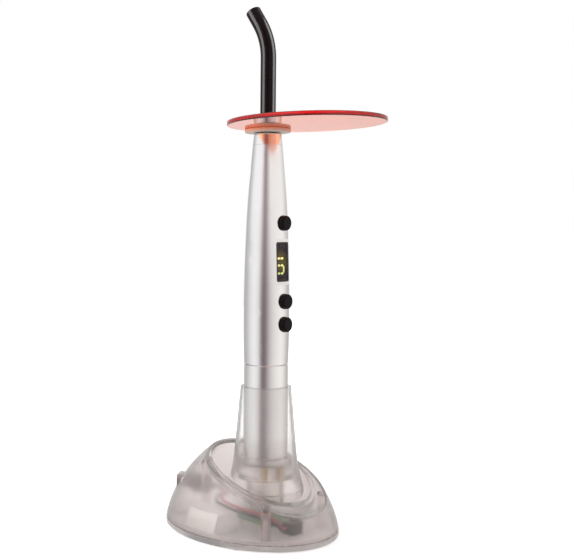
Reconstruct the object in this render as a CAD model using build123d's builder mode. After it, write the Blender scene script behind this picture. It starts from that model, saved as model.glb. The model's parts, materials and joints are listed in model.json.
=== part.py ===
"""A dental curing light handpiece standing in its charging base, in millimetres.

Z is up and the table is at Z = 0. The origin lies under the handpiece's axis. The low front of the base
faces -Y, and the handpiece stands a little turned in it.
"""

from build123d import *
from math import asin, cos, degrees, pi, radians, sin, sqrt, tan
import os

os.makedirs("parts", exist_ok=True)

# Clearances
seat_gap = 0.1  # between flat faces of different pieces that rest on each other
slip_gap = 0.05  # radial, between a turning or sliding piece and its bore
loose_gap = 0.2  # where a piece passes through a hole without being guided
overrun = 3.0  # how far a cutting tool runs past the material

# Charging base: an oval dome on a bottom plate
base_half_width = 43.7
base_half_length = 57.5
base_centre_y = 12.3
foot_height = 0.8
plate_thickness = 3.1
plate_edge = 0.7
seam_edge = 0.3
dome_height = 55.7  # height above the table at which the dome would close
dome_power = 1.63  # 2 is an ellipse, lower is leaner
dome_sections = 8
dome_last_angle = 80.0
shell_wall = 2.2
lip_height = 1.8
lip_width = 1.6

# Sloping rim of the dome, and the oval dish inside it
rim_height = 32.4  # on the socket's axis
rim_slope = 20.5  # degrees, rising to the back
rim_radius = 350.0  # the cut is slightly hollow from side to side
dish_half_width = 26.0
dish_half_length = 31.5
dish_centre_y = 4.0
dish_depth = 3.2

# Socket: a slim cone whose foot flares into the dish
socket_rim_height = 82.5
socket_play = 0.4  # radial, round the handpiece at the rim
socket_rim_wall = 1.4
socket_flare_height = 46.0
socket_flare = 3.2  # how much wider than the rim
socket_foot_height = 25.0
socket_foot = 4.4  # how much wider than the flare
socket_wall = 2.0

# Screws, posts and feet
post_radius = 2.6
post_places = ((-20.5, -24.5), (20.5, -24.5), (-21.5, 25.5), (21.5, 25.5))
screw_radius = 1.25
screw_length = 11.0  # above the bottom plate
screw_hole_length = 12.0
screw_head_radius = 2.7
screw_head_height = 1.8
pad_radius = 5.0
pad_recess = 0.7
pad_places = ((-31.0, -14.0), (31.0, -14.0), (-20.0, 50.0), (20.0, 50.0))

# Power inlet at the rear left
inlet_x = -24.0
inlet_y = 49.8
inlet_height = 23.2
inlet_turn = 40.0  # degrees from straight back towards -X
inlet_boss_width = 10.6
inlet_boss_height = 8.6
inlet_boss_depth = 9.0
inlet_boss_corner = 1.2
inlet_nose_radius = 3.9
inlet_nose_length = 9.2
inlet_body_width = 8.4
inlet_body_height = 10.2
inlet_body_length = 11.0
inlet_bore_radius = 2.8
inlet_bore_depth = 9.0
inlet_pin_radius = 0.65
inlet_pin_recess = 0.8
terminal_spread = 2.2
terminal_drop = 2.6
terminal_radius = 0.9
terminal_length = 1.2

# Circuit board, ballast and leads
board_width = 35.0
board_length = 34.0
board_centre_y = -6.0
board_thickness = 1.6
board_lift = 6.1  # above the bottom plate
boss_radius = 2.4
boss_spread_x = 14.0
boss_spread_y = 8.0
ballast_height = 11.5
ballast_corner = 1.5
ballast_blocks = (  # middle, then width and length, before they are cut to the dome's shape
    (-29.0, 10.5, 17.0, 24.0),
    (18.5, 39.5, 17.0, 16.0),
)
connector_width = 8.0
connector_length = 7.4  # in front of the board
connector_height = 4.8  # under the board
connector_rise = 1.6  # above the board's underside
connector_tongue = 2.5  # how far it reaches under the board
connector_x = -3.0
chip_height = 1.4
indicator_radius = 1.5
indicator_height = 4.0
indicator_round = 1.2
indicator_x = 13.0
indicator_y = -17.0
lead_radius = 0.75
lead_exit = 5.2  # straight out of the inlet's solder pins
lead_entry = 3.2  # straight into the connector
lead_spread = 1.0  # each side of the connector's middle
lead_rows = (8.6, 6.9)  # heights at the connector

# Contact seat in the socket
seat_wall = 2.2
seat_flange_height = 7.9
seat_ring_height = 4.2
seat_ring_gap = 0.4
seat_stem_radius = 10.5
seat_stem_bore = 8.5
barrel_radius = 1.9
barrel_lid = 0.6
barrel_bore = 1.55
barrel_floor = 0.5
barrel_drop = 0.4
plunger_radius = 1.0
plunger_collar_height = 1.5
plunger_round = 0.5
outer_contact_x = 6.2  # where the second plunger touches

# Handpiece: rear cap
handpiece_bottom = 39.0
contact_recess = 1.0
cap_radius = 12.6
cap_length = 56.1
cap_seam = 0.3  # open joint between the cap and the tube
cap_wall = 2.6
cap_floor = 3.5
cap_edge = 1.2
spigot_step = 1.75
spigot_height = 7.4
seal_groove = 0.4
seal_width = 1.0
insulator_ledge = 1.5
insulator_flange = 1.2
contact_ring_outer = 7.2
contact_ring_inner = 5.2
contact_ring_thickness = 1.2
centre_contact_radius = 2.4
leaf_radius = 5.0
leaf_thickness = 0.5
leaf_top_radius = 2.2
cell_gap = 0.9
cell_length = 48.6
cell_lift = 8.0  # above the handpiece's bottom
cell_button_radius = 3.0
cell_button_height = 1.0

# Handpiece: tube, with its outline between its ends as shares of the cap's radius and of the tube's length
tube_length = 123.9
tube_top_radius = 8.5
tube_waist = ((1.037, 0.142), (1.032, 0.32), (0.972, 0.554), (0.881, 0.747), (0.764, 0.894))
thread_wall = 1.0
thread_height = 8.6
tube_wall = 1.3
taper_start = 0.44  # share of the tube's length
taper_end = 0.723
taper_bore = 9.4
optic_bore = 7.2  # bore of the tube's narrow end
optic_bore_length = 21.3

# Nose, light source and light guide
nose_height = 6.4
nose_top_radius = 7.8
nose_edge = 0.6
nose_spigot_length = 11.3
guide_bore = 6.0
guide_stop_depth = 6.5  # below the tube's top
guide_stop_thickness = 1.2
guide_stop_bore = 4.2
sink_length = 20.4
sink_radius = 6.9
sink_core_radius = 4.6
sink_grooves = 5
sink_groove_pitch = 2.4
star_radius = 6.6
star_thickness = 1.4
emitter_size = 3.6
emitter_height = 0.9
lens_radius = 5.6
lens_foot = 1.4
lens_height = 4.0
lens_hollow_radius = 2.9
lens_hollow = 1.2
guide_radius = 4.45
glass_radius = 3.45
guide_rise = 42.8  # straight part above the nose
guide_bend_radius = 37.0
guide_bend = 33.0  # degrees
guide_turn = 15.0  # degrees from straight back towards -X
guide_tip_length = 9.0
guide_tip_round = 0.6
ferrule_recess = 0.3  # below the nose's rim
guide_seal_drop = 4.9  # below the ferrule's top
guide_seal_radius = 0.42
guide_groove_radius = 5.05

# Shield and its grommet
shield_lift = 2.5  # underside of the plate above the nose, at the guide
shield_tilt = 1.6  # degrees, front edge up
shield_thickness = 2.5
shield_half_width = 41.0
shield_half_length = 47.0
shield_centre_y = -32.0
shield_edge = 0.7
grommet_radius = 13.05
grommet_thickness = 2.1
grommet_edge = 0.6
grommet_neck_radius = 7.0
grommet_top_thickness = 1.5

# Buttons, in heights from the display's middle
handpiece_turn = 10.0  # degrees from straight ahead, as it stands in the base
button_power_rise = 21.8
button_mode_drop = 22.1
button_time_drop = 35.0
button_radius = 4.2
button_proud = 2.9
button_edge = 1.1
button_flange_radius = 5.1
button_flange_thickness = 1.0
button_tail_radius = 2.0
button_tail_reach = 6.85  # from the axis to the inner end of every button at rest
button_travel = 0.8

# Display, on a flat that follows the handle's taper
display_share = 0.4665  # of the tube's length, from its bottom to the display's middle
display_reach = 11.35  # from the axis to the flat
display_tilt = 1.6  # degrees
flat_length = 25.8
flat_width = 12.8
pocket_corner = 1.2
frame_length = 22.1
frame_width = 10.7
frame_wall = 0.9
frame_depth = 4.0
window_thickness = 1.2
digits_depth = 3.6
digits_pin_radius = 0.5
digits_pin_spread_x = 3.0
digits_pin_spread_z = 8.0

# Handpiece circuit board
main_board_width = 14.0
main_board_reach = 3.6  # from the axis to its front
main_board_thickness = 1.6
switch_size = 6.0
switch_body = 1.5
switch_plunger_radius = 1.6
stop_thickness = 3.0
stop_pin_radius = 3.6

# Worked out from the sizes above
plate_top = foot_height + plate_thickness
board_bottom = plate_top + board_lift
board_top = board_bottom + board_thickness
board_front_y = board_centre_y - board_length / 2
socket_bore_radius = cap_radius + socket_play
socket_rim_radius = socket_bore_radius + socket_rim_wall
socket_flare_radius = socket_rim_radius + socket_flare
socket_foot_radius = socket_flare_radius + socket_foot
seat_wall_radius = cap_radius + seat_ring_gap
seat_radius = seat_wall_radius + seat_wall
seat_top = handpiece_bottom - seat_gap
seat_bottom = seat_top - seat_flange_height
contact_height = handpiece_bottom + contact_recess
barrel_top = seat_top - barrel_lid
insulator_top = handpiece_bottom + cap_floor + insulator_flange
cap_top = handpiece_bottom + cap_length
cap_bore = cap_radius - cap_wall
insulator_radius = cap_bore - insulator_ledge
spigot_radius = cap_radius - spigot_step
spigot_top = cap_top + spigot_height
cell_radius = cap_bore - cell_gap
cell_bottom = handpiece_bottom + cell_lift
cell_top = cell_bottom + cell_length
tube_bottom = cap_top + cap_seam
tube_top = tube_bottom + tube_length
thread_bore = cap_radius - thread_wall
tube_bore = cap_radius - tube_wall
tube_bore_top = tube_bottom + tube_length * taper_start
taper_bore_height = tube_bottom + tube_length * taper_end
nose_top = tube_top + nose_height
nose_spigot_bottom = tube_top - nose_spigot_length
guide_stop_height = tube_top - guide_stop_depth
optic_bore_bottom = tube_top - optic_bore_length
ferrule_top = nose_top - ferrule_recess
guide_seal_height = ferrule_top - guide_seal_drop
stop_bottom = tube_bottom + thread_height + seat_gap
stop_top = stop_bottom + stop_thickness
star_bottom = nose_spigot_bottom - seat_gap - star_thickness
sink_top = star_bottom - seat_gap
sink_bottom = sink_top - sink_length
guide_bottom = guide_stop_height + guide_stop_thickness + seat_gap
switch_top_reach = button_tail_reach - button_travel - slip_gap
frame_inner_width = frame_width - 2 * frame_wall
frame_inner_length = frame_length - 2 * frame_wall
rim_back = Vector(0, cos(radians(rim_slope)), sin(radians(rim_slope)))
inlet_out = Vector(-sin(radians(inlet_turn)), cos(radians(inlet_turn)), 0)
inlet_side = Vector(cos(radians(inlet_turn)), sin(radians(inlet_turn)), 0)
inlet_plane = Plane(origin=(inlet_x, inlet_y, inlet_height), x_dir=inlet_side, z_dir=inlet_out)
bend_side = Vector(-sin(radians(guide_turn)), cos(radians(guide_turn)), 0)
guide_plane = Plane(origin=(0, 0, 0), x_dir=bend_side, z_dir=(bend_side.Y, -bend_side.X, 0))
shield_plane = Plane(
    origin=(0, 0, nose_top + shield_lift),
    x_dir=(1, 0, 0),
    z_dir=(0, sin(radians(shield_tilt)), cos(radians(shield_tilt))),
)
display_height = tube_bottom + tube_length * display_share
buttons = (
    ("button_power", display_height + button_power_rise),
    ("button_mode", display_height - button_mode_drop),
    ("button_time", display_height - button_time_drop),
)
front = Vector(sin(radians(handpiece_turn)), -cos(radians(handpiece_turn)), 0)
front_plane = Plane(origin=(0, 0, 0), x_dir=(-front.Y, front.X, 0), z_dir=front)
front_axis = Axis((0, 0, 0), front)
display_plane = Plane(
    origin=front * display_reach + Vector(0, 0, display_height),
    x_dir=front_plane.x_dir,
    z_dir=front * cos(radians(display_tilt)) + Vector(0, 0, sin(radians(display_tilt))),
)
waist_points = [
    (cap_radius * radius_share, tube_bottom + tube_length * height_share)
    for radius_share, height_share in tube_waist
]
handle_curve = Spline((cap_radius, tube_bottom), *waist_points, (tube_top_radius, tube_top))


def save(piece, name):
    """Label a finished piece and write it to its own file."""
    piece.label = name
    export_step(piece, f"parts/{name}.step")
    print(f"{name:22s} {piece.volume:10.1f} mm3")


def dome_share(level, height):
    """Size of the dome's oval at a level, as a share of its size on the table."""
    return (1 - (level / height) ** dome_power) ** (1 / dome_power)


def dome(inset, bottom):
    """The oval dome, drawn in by an inset all round and at the top."""
    height = dome_height - inset
    low = asin((bottom / height) ** (dome_power / 2))
    high = radians(dome_last_angle)
    with BuildPart() as solid:
        for step in range(dome_sections):
            angle = low + (high - low) * step / (dome_sections - 1)
            level = height * sin(angle) ** (2 / dome_power)
            share = dome_share(level, height)
            with BuildSketch(Plane.XY.offset(level)):
                with Locations((0, base_centre_y)):
                    Ellipse((base_half_width - inset) * share, (base_half_length - inset) * share)
        loft()
    return solid.part


def above_rim(drop):
    """Everything above the rim's sloping, slightly hollow surface, lowered square to itself by a drop."""
    radius = rim_radius + drop
    reach = base_half_length * 1.3  # beyond the dome on every side
    sag = radius - sqrt(radius**2 - reach**2)
    middle = Vector(0, 0, rim_height) + rim_back * reach * 1.4
    with BuildPart() as solid:
        with BuildSketch(Plane(origin=middle, x_dir=(1, 0, 0), z_dir=-rim_back)):
            with BuildLine():
                ThreePointArc((-reach, sag - drop), (0, -drop), (reach, sag - drop))
                Polyline((reach, sag - drop), (reach, reach), (-reach, reach), (-reach, sag - drop))
            make_face()
        extrude(amount=reach * 2.8)
    return solid.part


def dish(grow, drop):
    """The oval recess inside the rim, grown sideways and lowered to leave the wall under it."""
    with BuildPart() as solid:
        with BuildSketch():
            with Locations((0, dish_centre_y)):
                Ellipse(dish_half_width + grow, dish_half_length + grow)
        extrude(amount=dome_height + overrun)
        add(above_rim(drop), mode=Mode.INTERSECT)
    return solid.part


def cone(rim, inset, top, bottom):
    """The socket's outer form, or its inner one when drawn in by the wall."""
    flare = socket_flare_radius - inset
    foot = socket_foot_radius - inset
    lean = (flare - rim) / (socket_rim_height - socket_flare_height)
    top_radius = rim - lean * (top - socket_rim_height)
    with BuildPart() as solid:
        with BuildSketch(Plane.XZ):
            with BuildLine():
                Line((top_radius, top), (flare, socket_flare_height))
                TangentArc((flare, socket_flare_height), (foot, socket_foot_height), tangent=(lean, -1))
                Polyline((foot, socket_foot_height), (foot, bottom), (0, bottom), (0, top))
                Line((0, top), (top_radius, top))
            make_face()
        revolve(axis=Axis.Z)
    return solid.part


def bars(places, radius, bottom, height):
    """Round bars standing at the given places."""
    with BuildPart() as solid:
        with BuildSketch(Plane.XY.offset(bottom)):
            with Locations(*places):
                Circle(radius)
        extrude(amount=height)
    return solid.part


def half_section(*corners):
    """Half the outline of a turned piece, from its corners as (radius, height)."""
    with BuildSketch(Plane.XZ) as outline:
        with BuildLine():
            Polyline(*corners, close=True)
        make_face()
    return outline.sketch


def handle_radius(height):
    """Outer radius of the handle's tube at a height, found on its outline by halving."""
    low, high = 0.0, 1.0
    for _ in range(40):
        middle = (low + high) / 2
        if (handle_curve @ middle).Y < height:
            low = middle
        else:
            high = middle
    return (handle_curve @ low).X


def bore_radius(height):
    """Inner radius of the handle's tube, up to the end of its taper."""
    share = max(0.0, (height - tube_bore_top) / (taper_bore_height - tube_bore_top))
    return tube_bore + (taper_bore - tube_bore) * share


def lead_path(points):
    """A lead's route: straight runs joined by arcs as large as the runs allow."""
    corners = [Vector(*point) for point in points]
    radii = []
    for before, here, after in zip(corners, corners[1:], corners[2:]):
        turn = (here - before).get_angle(after - here)
        run = min((here - before).length, (after - here).length)
        radii.append(0.45 * run / tan(radians(turn / 2)))
    print("lead radii", [round(radius, 1) for radius in radii])
    return FilletPolyline(*corners, radius=radii)


# Base shell: what is hollow under it leaves the wall, the dish's floor, the socket's wall and the posts
with BuildPart() as hollow:
    add(dome(shell_wall, plate_top - lip_height))
    add(above_rim(shell_wall), mode=Mode.SUBTRACT)
    add(dish(shell_wall, dish_depth + shell_wall), mode=Mode.SUBTRACT)
    add(cone(socket_bore_radius, socket_wall, socket_rim_height + overrun, board_top))
    add(bars(post_places, post_radius, 0, dome_height), mode=Mode.SUBTRACT)

with BuildPart() as base_shell:
    add(dome(0, plate_top))
    with BuildSketch(inlet_plane):
        RectangleRounded(inlet_boss_width, inlet_boss_height, inlet_boss_corner)
    extrude(amount=-inlet_boss_depth)
    add(above_rim(0), mode=Mode.SUBTRACT)
    add(dish(0, dish_depth), mode=Mode.SUBTRACT)
    add(cone(socket_rim_radius, 0, socket_rim_height, plate_top + shell_wall))
    add(hollow.part, mode=Mode.SUBTRACT)
    with BuildSketch(inlet_plane):
        Circle(inlet_nose_radius + slip_gap)
    extrude(amount=-inlet_boss_depth - overrun, mode=Mode.SUBTRACT)
    add(bars(post_places, screw_radius + slip_gap, plate_top, screw_hole_length), mode=Mode.SUBTRACT)
save(base_shell.part, "base_shell")

# Bottom plate: flush with the shell at the seam, with a lip inside it and bosses under the circuit board
seam_share = dome_share(plate_top, dome_height)
lip_share = dome_share(plate_top + lip_height, dome_height - shell_wall)
lip_half_width = (base_half_width - shell_wall) * lip_share - loose_gap
lip_half_length = (base_half_length - shell_wall) * lip_share - loose_gap
board_corners = [
    (side * boss_spread_x, board_centre_y + end * boss_spread_y) for side in (-1, 1) for end in (-1, 1)
]
with BuildPart() as base_plate:
    with BuildSketch(Plane.XY.offset(foot_height)):
        with Locations((0, base_centre_y)):
            Ellipse(base_half_width * seam_share, base_half_length * seam_share)
    extrude(amount=plate_thickness)
    chamfer(base_plate.edges().group_by(Axis.Z)[0], plate_edge)
    chamfer(base_plate.edges().group_by(Axis.Z)[-1], seam_edge)
    with BuildSketch(Plane.XY.offset(plate_top)):
        with Locations((0, base_centre_y)):
            Ellipse(lip_half_width, lip_half_length)
            Ellipse(lip_half_width - lip_width, lip_half_length - lip_width, mode=Mode.SUBTRACT)
    extrude(amount=lip_height)
    add(bars(board_corners, boss_radius, plate_top, board_lift))
    add(bars(post_places, screw_radius + loose_gap, 0, plate_top + overrun), mode=Mode.SUBTRACT)
    head_recess = foot_height + screw_head_height + loose_gap
    add(bars(post_places, screw_head_radius + loose_gap, 0, head_recess), mode=Mode.SUBTRACT)
    add(bars(pad_places, pad_radius + loose_gap, 0, foot_height + pad_recess), mode=Mode.SUBTRACT)
save(base_plate.part, "base_plate")

with BuildPart() as rubber_feet:
    add(bars(pad_places, pad_radius, 0, foot_height + pad_recess))
    chamfer(rubber_feet.edges().group_by(Axis.Z)[0], seam_edge)
save(rubber_feet.part, "rubber_feet")

with BuildPart() as base_screws:
    add(bars(post_places, screw_head_radius, foot_height + loose_gap, screw_head_height))
    add(bars(post_places, screw_radius, foot_height + loose_gap, plate_thickness - loose_gap + screw_length))
save(base_screws.part, "base_screws")

# Power inlet: a round nose in the shell's boss, the body behind it and two solder pins
terminals = ((-terminal_spread, terminal_drop), (terminal_spread, terminal_drop))
inlet_back = inlet_nose_length + inlet_body_length
with BuildPart() as dc_jack:
    with BuildSketch(inlet_plane):
        Circle(inlet_nose_radius)
    extrude(amount=-inlet_nose_length)
    with BuildSketch(inlet_plane.offset(-inlet_nose_length)):
        with Locations((0, (inlet_body_height - inlet_body_width) / 2)):
            RectangleRounded(inlet_body_width, inlet_body_height, pocket_corner)
    extrude(amount=-inlet_body_length)
    with BuildSketch(inlet_plane):
        Circle(inlet_bore_radius)
    extrude(amount=-inlet_bore_depth, mode=Mode.SUBTRACT)
    with BuildSketch(inlet_plane.offset(-inlet_pin_recess)):
        Circle(inlet_pin_radius)
    extrude(amount=-inlet_bore_depth)
    with BuildSketch(inlet_plane.offset(-inlet_back)):
        with Locations(*terminals):
            Circle(terminal_radius)
    extrude(amount=-terminal_length)
save(dc_jack.part, "dc_jack")

# Ballast: a block beside the board and one behind the socket, on the plate, cut to clear the shell and lip
with BuildPart() as ballast_weights:
    with BuildSketch(Plane.XY.offset(plate_top)):
        for block_x, block_y, block_width, block_length in ballast_blocks:
            with Locations((block_x, block_y)):
                RectangleRounded(block_width, block_length, ballast_corner)
    extrude(amount=ballast_height)
    chamfer(ballast_weights.edges().group_by(Axis.Z)[-1], plate_edge)
    add(dome(shell_wall + lip_width + 2 * loose_gap, plate_top), mode=Mode.INTERSECT)
save(ballast_weights.part, "ballast_weights")

# Circuit board on the plate's bosses, with what is soldered to it
with BuildPart() as charge_board:
    with BuildSketch(Plane.XY.offset(board_bottom)):
        with Locations((0, board_centre_y)):
            RectangleRounded(board_width, board_length, pocket_corner)
    extrude(amount=board_thickness)
save(charge_board.part, "charge_board")

chips = (
    (-12.5, -17.5, 6.0, 5.0),
    (3.0, -19.5, 8.0, 4.0),
    (-14.0, 5.5, 4.0, 6.0),
    (14.0, 5.0, 4.5, 7.0),
)
with BuildPart() as board_chips:
    with BuildSketch(Plane.XY.offset(board_top)):
        for chip_x, chip_y, chip_width, chip_length in chips:
            with Locations((chip_x, chip_y)):
                Rectangle(chip_width, chip_length)
    extrude(amount=chip_height)
save(board_chips.part, "board_chips")

with BuildPart() as charge_indicator:
    with BuildSketch(Plane.XY.offset(board_top)):
        with Locations((indicator_x, indicator_y)):
            Circle(indicator_radius)
    extrude(amount=indicator_height)
    fillet(charge_indicator.edges().group_by(Axis.Z)[-1], indicator_round)
save(charge_indicator.part, "charge_indicator")

connector_left = connector_x - connector_width / 2
connector_y = board_front_y - slip_gap - connector_length / 2
connector_bottom = board_bottom - connector_height
tongue_back = board_front_y + connector_tongue
tongue_length = tongue_back - connector_y
with BuildPart() as board_connector:
    with BuildSketch(Plane.XY.offset(connector_bottom)):
        with Locations((connector_x, connector_y)):
            Rectangle(connector_width, connector_length)
    extrude(amount=connector_height + connector_rise)
    chamfer(board_connector.edges().filter_by(Axis.Z), seam_edge)
    with BuildSketch(Plane.XY.offset(connector_bottom)):
        with Locations((connector_x, tongue_back - tongue_length / 2)):
            Rectangle(connector_width - 2 * seam_edge, tongue_length)
    extrude(amount=connector_height)
save(board_connector.part, "board_connector")

# Leads from the inlet over the ballast and the board's corner to its connector
inlet_rear = inlet_plane.offset(-inlet_back - terminal_length)
red_start = inlet_rear.from_local_coords((terminal_spread, terminal_drop, 0))
black_start = inlet_rear.from_local_coords((-terminal_spread, terminal_drop, 0))
red_end = Vector(connector_left, connector_y + lead_spread, lead_rows[0])
black_end = Vector(connector_left, connector_y - lead_spread, lead_rows[1])
red_route = (
    red_start,
    red_start - inlet_out * lead_exit,
    (-7.5, 21.5, 20.6),
    (-23.0, 13.0, 19.6),
    (-24.8, -3.6, 18.6),
    (-17.6, -17.4, 16.0),
    (-12.4, -25.2, 12.8),
    red_end - Vector(lead_entry, 0, 0),
    red_end,
)
black_route = (
    black_start,
    black_start - inlet_out * lead_exit,
    (-12.2, 21.6, 19.8),
    (-24.4, 15.8, 18.2),
    (-27.0, -4.6, 17.5),
    (-19.9, -18.9, 14.6),
    (-13.8, -26.6, 11.2),
    black_end - Vector(lead_entry, 0, 0),
    black_end,
)
for name, route in (("lead_red", red_route), ("lead_black", black_route)):
    route_line = lead_path(route)
    with BuildPart() as lead:
        with BuildSketch(Plane(origin=route_line @ 0, z_dir=route_line % 0)):
            Circle(lead_radius)
        sweep(path=route_line)
    print(name, "section times length", round(pi * lead_radius**2 * route_line.length, 1))
    save(lead.part, name)

# Contact seat: a cup at the bottom of the socket on a hollow stem, with two sprung contacts
plunger_places = ((0, 0), (outer_contact_x, 0))
with BuildPart() as contact_seat:
    revolve(
        half_section(
            (seat_stem_bore, board_top),
            (seat_stem_radius, board_top),
            (seat_stem_radius, seat_bottom),
            (seat_radius, seat_bottom),
            (seat_radius, seat_top + seat_ring_height),
            (seat_wall_radius, seat_top + seat_ring_height),
            (seat_wall_radius, seat_top),
            (0, seat_top),
            (0, seat_bottom),
            (seat_stem_bore, seat_bottom),
        ),
        axis=Axis.Z,
    )
    barrel_way = barrel_top - seat_bottom + overrun
    add(bars(plunger_places, barrel_radius + slip_gap, seat_bottom - overrun, barrel_way), mode=Mode.SUBTRACT)
    add(bars(plunger_places, plunger_radius + slip_gap, barrel_top - overrun, overrun * 2), mode=Mode.SUBTRACT)
save(contact_seat.part, "contact_seat")

barrel_bottom = seat_bottom - barrel_drop
with BuildPart() as contact_barrels:
    add(bars(plunger_places, barrel_radius, barrel_bottom, barrel_top - barrel_bottom))
    barrel_hollow = barrel_bottom + barrel_floor
    add(bars(plunger_places, barrel_bore, barrel_hollow, barrel_top), mode=Mode.SUBTRACT)
save(contact_barrels.part, "contact_barrels")

plunger_tip = contact_height - slip_gap
collar_top = barrel_top - slip_gap
collar_bottom = collar_top - plunger_collar_height
for name, place in zip(("plunger_centre", "plunger_outer"), plunger_places):
    with BuildPart() as plunger:
        add(bars([place], plunger_radius, collar_bottom, plunger_tip - collar_bottom))
        fillet(plunger.edges().group_by(Axis.Z)[-1], plunger_round)
        add(bars([place], barrel_bore - slip_gap, collar_bottom, plunger_collar_height))
    save(plunger.part, name)

# Rear cap, which screws on the tube and carries the charging contacts
groove_middle = cap_top + seal_width * 1.5
with BuildPart() as rear_cap:
    revolve(
        half_section(
            (insulator_radius, handpiece_bottom),
            (cap_radius, handpiece_bottom),
            (cap_radius, cap_top),
            (spigot_radius, cap_top),
            (spigot_radius, groove_middle - seal_width / 2),
            (spigot_radius - seal_groove, groove_middle - seal_width / 2),
            (spigot_radius - seal_groove, groove_middle + seal_width / 2),
            (spigot_radius, groove_middle + seal_width / 2),
            (spigot_radius, spigot_top),
            (cap_bore, spigot_top),
            (cap_bore, handpiece_bottom + cap_floor),
            (insulator_radius, handpiece_bottom + cap_floor),
        ),
        axis=Axis.Z,
    )
    cap_rims = rear_cap.edges().filter_by(GeomType.CIRCLE)
    outer_rims = cap_rims.filter_by(lambda edge: abs(edge.radius - cap_radius) < slip_gap).sort_by(Axis.Z)
    fillet(outer_rims[0], cap_edge)
    chamfer(outer_rims[-1], seam_edge)
save(rear_cap.part, "rear_cap")

with BuildPart() as cap_seal:
    with BuildSketch(Plane.XZ):
        with Locations((spigot_radius - seal_groove / 2, groove_middle)):
            Rectangle(seal_groove - slip_gap, seal_width - 2 * slip_gap)
    revolve(axis=Axis.Z)
save(cap_seal.part, "cap_seal")

ring_top = contact_height + contact_ring_thickness
with BuildPart() as cap_insulator:
    revolve(
        half_section(
            (centre_contact_radius + slip_gap, contact_height),
            (contact_ring_inner - slip_gap, contact_height),
            (contact_ring_inner - slip_gap, ring_top + slip_gap),
            (contact_ring_outer + slip_gap, ring_top + slip_gap),
            (contact_ring_outer + slip_gap, contact_height),
            (insulator_radius - slip_gap, contact_height),
            (insulator_radius - slip_gap, handpiece_bottom + cap_floor + slip_gap),
            (cap_bore - slip_gap, handpiece_bottom + cap_floor + slip_gap),
            (cap_bore - slip_gap, insulator_top),
            (centre_contact_radius + slip_gap, insulator_top),
        ),
        axis=Axis.Z,
    )
save(cap_insulator.part, "cap_insulator")

with BuildPart() as contact_ring:
    with BuildSketch(Plane.XY.offset(contact_height)):
        Circle(contact_ring_outer)
        Circle(contact_ring_inner, mode=Mode.SUBTRACT)
    extrude(amount=contact_ring_thickness)
save(contact_ring.part, "contact_ring")

with BuildPart() as cap_contact:
    with BuildSketch(Plane.XY.offset(contact_height)):
        Circle(centre_contact_radius)
    extrude(amount=insulator_top - contact_height)
save(cap_contact.part, "cap_contact")

leaf_bottom = insulator_top + slip_gap
with BuildPart() as cell_contact:
    revolve(
        half_section(
            (0, leaf_bottom),
            (leaf_radius, leaf_bottom),
            (leaf_radius, leaf_bottom + leaf_thickness),
            (leaf_top_radius, cell_bottom - seat_gap),
            (0, cell_bottom - seat_gap),
        ),
        axis=Axis.Z,
    )
save(cell_contact.part, "cell_contact")

# Battery cell, and the stop above it with its contact
with BuildPart() as battery_cell:
    with BuildSketch(Plane.XY.offset(cell_bottom)):
        Circle(cell_radius)
    extrude(amount=cell_length)
    chamfer(battery_cell.edges(), seam_edge)
    with BuildSketch(Plane.XY.offset(cell_top)):
        Circle(cell_button_radius)
    extrude(amount=cell_button_height)
save(battery_cell.part, "battery_cell")

with BuildPart() as cell_stop:
    with BuildSketch(Plane.XY.offset(stop_bottom)):
        Circle(tube_bore - slip_gap)
    extrude(amount=stop_thickness)
    pin_bottom = cell_top + cell_button_height + seat_gap
    with BuildSketch(Plane.XY.offset(pin_bottom)):
        Circle(stop_pin_radius)
    extrude(amount=stop_bottom - pin_bottom)
save(cell_stop.part, "cell_stop")

with BuildPart() as thread_insert:
    with BuildSketch(Plane.XY.offset(tube_bottom + seat_gap)):
        Circle(thread_bore - slip_gap)
        Circle(spigot_radius + slip_gap, mode=Mode.SUBTRACT)
    extrude(amount=thread_height - seat_gap)
save(thread_insert.part, "thread_insert")

# Handle tube: a spline outside, stepped bores inside, button holes and the display's flat and opening
button_seats = [(0, height) for _, height in buttons]
with BuildPart() as handle_tube:
    with BuildSketch(Plane.XZ):
        with BuildLine():
            add(handle_curve)
            Polyline(
                (tube_top_radius, tube_top),
                (optic_bore, tube_top),
                (optic_bore, optic_bore_bottom),
                (taper_bore, taper_bore_height),
                (tube_bore, tube_bore_top),
                (tube_bore, tube_bottom + thread_height),
                (thread_bore, tube_bottom + thread_height),
                (thread_bore, tube_bottom),
                (cap_radius, tube_bottom),
            )
        make_face()
    revolve(axis=Axis.Z)
    chamfer(handle_tube.edges().group_by(Axis.Z)[0].sort_by(SortBy.RADIUS)[-1], seam_edge)
    chamfer(handle_tube.edges().group_by(Axis.Z)[-1].sort_by(SortBy.RADIUS)[-1], seam_edge)
    with BuildSketch(front_plane):
        with Locations(*button_seats):
            Circle(button_radius + loose_gap)
    extrude(amount=cap_radius * 2, mode=Mode.SUBTRACT)
    with BuildSketch(display_plane):
        RectangleRounded(flat_width, flat_length, pocket_corner)
    extrude(amount=overrun, mode=Mode.SUBTRACT)
    with BuildSketch(display_plane):
        RectangleRounded(frame_width + loose_gap, frame_length + loose_gap, pocket_corner)
    extrude(amount=-frame_depth * 2, mode=Mode.SUBTRACT)
save(handle_tube.part, "handle_tube")

# Display: frame in the tube's opening, window in the frame, digit block behind it on the board
with BuildPart() as display_frame:
    with BuildSketch(display_plane):
        RectangleRounded(frame_width, frame_length, pocket_corner)
        Rectangle(frame_inner_width, frame_inner_length, mode=Mode.SUBTRACT)
    extrude(amount=-frame_depth)
save(display_frame.part, "display_frame")

with BuildPart() as display_window:
    with BuildSketch(display_plane):
        Rectangle(frame_inner_width - 2 * slip_gap, frame_inner_length - 2 * slip_gap)
    extrude(amount=-window_thickness)
save(display_window.part, "display_window")

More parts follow.
